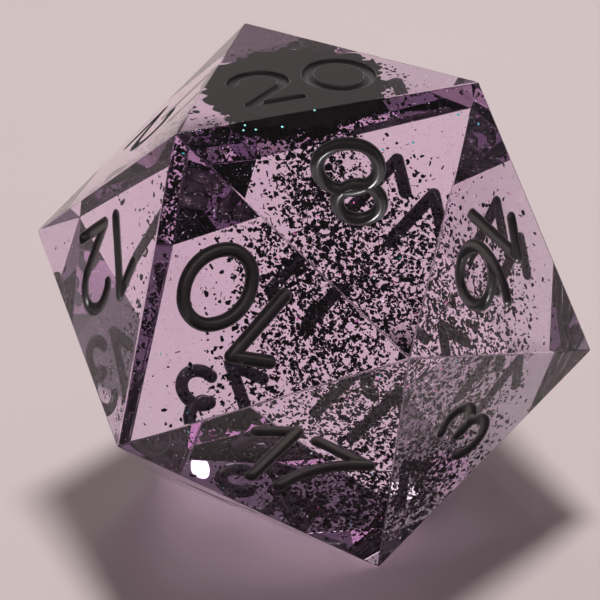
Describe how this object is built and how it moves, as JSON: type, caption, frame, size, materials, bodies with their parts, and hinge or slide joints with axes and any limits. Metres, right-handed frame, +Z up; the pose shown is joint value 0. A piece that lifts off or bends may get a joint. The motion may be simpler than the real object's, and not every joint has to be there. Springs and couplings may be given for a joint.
{
  "type": "polyhedral die",
  "caption": "Sharp-edged clear resin die in the shape of a regular icosahedron, black painted numerals in grooves, and a settled cake and plume of black flakes cast inside.",
  "frame": {"origin": "centre of face 1, which the die stands on", "axes": "+Z up out of face 20; -Y towards the top edge that faces 20 and 8 share; +X to the right as face 8 is looked at"},
  "size_m": [0.0214, 0.0246, 0.02],
  "materials": {
    "clear_resin": "clear cast resin with a faint violet tint, polished faces and sharp edges",
    "numeral_paint": "black glossy paint lining the engraved strokes",
    "black_mica": "thin black mica flakes set in the resin",
    "silver_glitter": "silver hexagon glitter set in the resin",
    "pink_glitter": "pink hexagon glitter set in the resin",
    "teal_glitter": "teal hexagon glitter set in the resin"
  },
  "bodies": {
    "root": {"resin_body": "clear_resin", "paint_1": "numeral_paint", "paint_2": "numeral_paint", "paint_3": "numeral_paint", "paint_4": "numeral_paint", "paint_5": "numeral_paint", "paint_6": "numeral_paint", "paint_7": "numeral_paint", "paint_8": "numeral_paint", "paint_9": "numeral_paint", "paint_10": "numeral_paint", "paint_11": "numeral_paint", "paint_12": "numeral_paint", "paint_13": "numeral_paint", "paint_14": "numeral_paint", "paint_15": "numeral_paint", "paint_16": "numeral_paint", "paint_17": "numeral_paint", "paint_18": "numeral_paint", "paint_19": "numeral_paint", "paint_20": "numeral_paint", "settled_flake_cake": "black_mica", "rim_flakes": "black_mica", "plume_top_flakes": "black_mica", "plume_upper_flakes": "black_mica", "plume_middle_flakes": "black_mica", "plume_lower_flakes": "black_mica", "plume_foot_flakes": "black_mica", "stray_flakes": "black_mica", "silver_glitter": "silver_glitter", "pink_glitter": "pink_glitter", "teal_glitter": "teal_glitter"}
  },
  "joints": []
}
